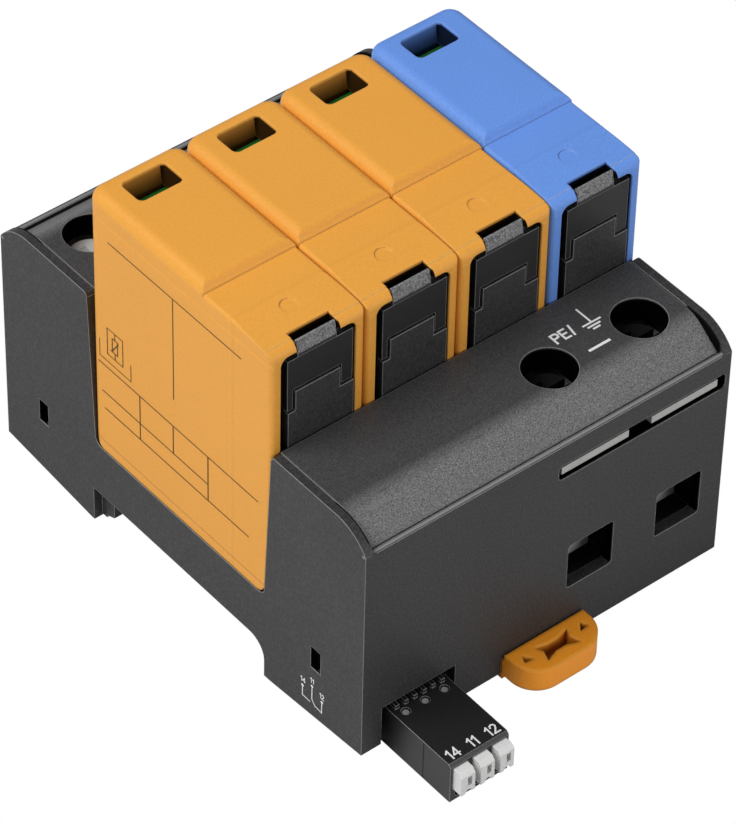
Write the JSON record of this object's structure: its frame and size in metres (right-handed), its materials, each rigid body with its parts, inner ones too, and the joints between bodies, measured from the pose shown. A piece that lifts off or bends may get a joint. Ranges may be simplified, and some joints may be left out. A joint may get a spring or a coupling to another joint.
{
  "type": "din rail surge arrester",
  "caption": "Rail-mounted surge arrester: dark base with screw terminals, pull-out orange and blue protection modules, a remote signalling plug and a sliding rail foot.",
  "frame": {"origin": "middle of the base on the plane it rests on", "axes": "+X along the rail, -Y towards the earth terminals and signalling plug, +Z away from the rail"},
  "size_m": [0.072, 0.1065, 0.07],
  "materials": {
    "housing_grey": "fine matt",
    "cover_grey": "spark-eroded grain",
    "foot_orange": "satin",
    "tinned_metal": "tinned",
    "copper": "bare",
    "board": "lacquered",
    "black_plastic": "satin",
    "plug_black": "satin",
    "plated_steel": "zinc plated",
    "button_grey": "satin",
    "shell_orange": "fine satin",
    "shell_blue": "fine satin",
    "frame_red": "satin",
    "latch_black": "satin",
    "varistor": "epoxy coat",
    "spark_gap": "ceramic",
    "flag_green": "satin"
  },
  "bodies": {
    "base": {"base_housing": "housing_grey", "front_wall": "housing_grey", "rear_wall": "housing_grey", "catch_posts": "housing_grey", "front_cover": "cover_grey", "rear_cover": "cover_grey", "line_contact_1": "tinned_metal", "line_contact_2": "tinned_metal", "line_contact_3": "tinned_metal", "neutral_contact": "tinned_metal", "neutral_bar": "copper", "earth_contact": "tinned_metal", "signal_board": "board", "signal_switch": "black_plastic", "signal_header": "black_plastic"},
    "foot": {"rail_foot": "foot_orange"},
    "plug": {"plug_housing": "plug_black", "plug_contacts": "tinned_metal"},
    "button_1": {"plug_button_1": "button_grey"},
    "button_2": {"plug_button_2": "button_grey"},
    "button_3": {"plug_button_3": "button_grey"},
    "screw_1": {"clamp_screw_1": "plated_steel"},
    "cage_1": {"clamp_cage_1": "plated_steel"},
    "screw_2": {"clamp_screw_2": "plated_steel"},
    "cage_2": {"clamp_cage_2": "plated_steel"},
    "screw_3": {"clamp_screw_3": "plated_steel"},
    "cage_3": {"clamp_cage_3": "plated_steel"},
    "screw_4": {"clamp_screw_4": "plated_steel"},
    "cage_4": {"clamp_cage_4": "plated_steel"},
    "screw_5": {"clamp_screw_5": "plated_steel"},
    "cage_5": {"clamp_cage_5": "plated_steel"},
    "screw_6": {"clamp_screw_6": "plated_steel"},
    "cage_6": {"clamp_cage_6": "plated_steel"},
    "module_1": {"module_1_shell": "shell_orange", "module_1_frame": "frame_red", "module_1_blades": "copper", "module_1_core": "varistor", "module_1_strap": "copper"},
    "latch_1": {"module_1_latch": "latch_black"},
    "flag_1": {"module_1_flag": "flag_green"},
    "module_2": {"module_2_shell": "shell_orange", "module_2_frame": "frame_red", "module_2_blades": "copper", "module_2_core": "varistor", "module_2_strap": "copper"},
    "latch_2": {"module_2_latch": "latch_black"},
    "flag_2": {"module_2_flag": "flag_green"},
    "module_3": {"module_3_shell": "shell_orange", "module_3_frame": "frame_red", "module_3_blades": "copper", "module_3_core": "varistor", "module_3_strap": "copper"},
    "latch_3": {"module_3_latch": "latch_black"},
    "flag_3": {"module_3_flag": "flag_green"},
    "module_4": {"module_4_shell": "shell_blue", "module_4_frame": "frame_red", "module_4_blades": "copper", "module_4_core": "spark_gap"},
    "latch_4": {"module_4_latch": "latch_black"},
    "flag_4": {"module_4_flag": "flag_green"}
  },
  "joints": [
    {"name": "foot_slide", "type": "slide", "parent": "base", "child": "foot", "axis": [0, -1, 0], "range_m": [0, 0.005], "stiffness_N_per_m": 400},
    {"name": "plug_slide", "type": "slide", "parent": "base", "child": "plug", "axis": [0, -1, 0], "range_m": [0, 0.016]},
    {"name": "button_1_press", "type": "slide", "parent": "plug", "child": "button_1", "axis": [0, 1, 0], "range_m": [0, 0.0015], "stiffness_N_per_m": 1500},
    {"name": "button_2_press", "type": "slide", "parent": "plug", "child": "button_2", "axis": [0, 1, 0], "range_m": [0, 0.0015], "stiffness_N_per_m": 1500},
    {"name": "button_3_press", "type": "slide", "parent": "plug", "child": "button_3", "axis": [0, 1, 0], "range_m": [0, 0.0015], "stiffness_N_per_m": 1500},
    {"name": "screw_1_turn", "type": "hinge", "parent": "base", "child": "screw_1", "pos_m": [-0.027, 0.0335, 0.04], "axis": [0, 0, -1], "range_deg": [0, 3600]},
    {"name": "cage_1_lift", "type": "slide", "parent": "base", "child": "cage_1", "axis": [0, 0, 1], "range_m": [0, 0.008]},
    {"name": "screw_2_turn", "type": "hinge", "parent": "base", "child": "screw_2", "pos_m": [-0.009, 0.0335, 0.04], "axis": [0, 0, -1], "range_deg": [0, 3600]},
    {"name": "cage_2_lift", "type": "slide", "parent": "base", "child": "cage_2", "axis": [0, 0, 1], "range_m": [0, 0.008]},
    {"name": "screw_3_turn", "type": "hinge", "parent": "base", "child": "screw_3", "pos_m": [0.009, 0.0335, 0.04], "axis": [0, 0, -1], "range_deg": [0, 3600]},
    {"name": "cage_3_lift", "type": "slide", "parent": "base", "child": "cage_3", "axis": [0, 0, 1], "range_m": [0, 0.008]},
    {"name": "screw_4_turn", "type": "hinge", "parent": "base", "child": "screw_4", "pos_m": [0.027, 0.0335, 0.04], "axis": [0, 0, -1], "range_deg": [0, 3600]},
    {"name": "cage_4_lift", "type": "slide", "parent": "base", "child": "cage_4", "axis": [0, 0, 1], "range_m": [0, 0.008]},
    {"name": "screw_5_turn", "type": "hinge", "parent": "base", "child": "screw_5", "pos_m": [0.009, -0.0335, 0.04], "axis": [0, 0, -1], "range_deg": [0, 3600]},
    {"name": "cage_5_lift", "type": "slide", "parent": "base", "child": "cage_5", "axis": [0, 0, 1], "range_m": [0, 0.008]},
    {"name": "screw_6_turn", "type": "hinge", "parent": "base", "child": "screw_6", "pos_m": [0.027, -0.0335, 0.04], "axis": [0, 0, -1], "range_deg": [0, 3600]},
    {"name": "cage_6_lift", "type": "slide", "parent": "base", "child": "cage_6", "axis": [0, 0, 1], "range_m": [0, 0.008]},
    {"name": "module_1_pull", "type": "slide", "parent": "base", "child": "module_1", "axis": [0, 0, 1], "range_m": [0, 0.06]},
    {"name": "latch_1_press", "type": "hinge", "parent": "module_1", "child": "latch_1", "pos_m": [-0.027, -0.0199, 0.03], "axis": [-1, 0, 0], "range_deg": [0, 2], "stiffness_Nm_per_rad": 0.8},
    {"name": "flag_1_trip", "type": "slide", "parent": "module_1", "child": "flag_1", "axis": [0, -1, 0], "range_m": [0, 0.0075], "stiffness_N_per_m": 20},
    {"name": "module_2_pull", "type": "slide", "parent": "base", "child": "module_2", "axis": [0, 0, 1], "range_m": [0, 0.06]},
    {"name": "latch_2_press", "type": "hinge", "parent": "module_2", "child": "latch_2", "pos_m": [-0.009, -0.0199, 0.03], "axis": [-1, 0, 0], "range_deg": [0, 2], "stiffness_Nm_per_rad": 0.8},
    {"name": "flag_2_trip", "type": "slide", "parent": "module_2", "child": "flag_2", "axis": [0, -1, 0], "range_m": [0, 0.0075], "stiffness_N_per_m": 20},
    {"name": "module_3_pull", "type": "slide", "parent": "base", "child": "module_3", "axis": [0, 0, 1], "range_m": [0, 0.06]},
    {"name": "latch_3_press", "type": "hinge", "parent": "module_3", "child": "latch_3", "pos_m": [0.009, -0.0199, 0.03], "axis": [-1, 0, 0], "range_deg": [0, 2], "stiffness_Nm_per_rad": 0.8},
    {"name": "flag_3_trip", "type": "slide", "parent": "module_3", "child": "flag_3", "axis": [0, -1, 0], "range_m": [0, 0.0075], "stiffness_N_per_m": 20},
    {"name": "module_4_pull", "type": "slide", "parent": "base", "child": "module_4", "axis": [0, 0, 1], "range_m": [0, 0.06]},
    {"name": "latch_4_press", "type": "hinge", "parent": "module_4", "child": "latch_4", "pos_m": [0.027, -0.0199, 0.03], "axis": [-1, 0, 0], "range_deg": [0, 2], "stiffness_Nm_per_rad": 0.8},
    {"name": "flag_4_trip", "type": "slide", "parent": "module_4", "child": "flag_4", "axis": [0, -1, 0], "range_m": [0, 0.0075], "stiffness_N_per_m": 20}
  ],
  "couplings": [
    {"joint": "screw_1_turn", "follows": "cage_1_lift", "rad_per_m": 7854},
    {"joint": "screw_2_turn", "follows": "cage_2_lift", "rad_per_m": 7854},
    {"joint": "screw_3_turn", "follows": "cage_3_lift", "rad_per_m": 7854},
    {"joint": "screw_4_turn", "follows": "cage_4_lift", "rad_per_m": 7854},
    {"joint": "screw_5_turn", "follows": "cage_5_lift", "rad_per_m": 7854},
    {"joint": "screw_6_turn", "follows": "cage_6_lift", "rad_per_m": 7854}
  ]
}
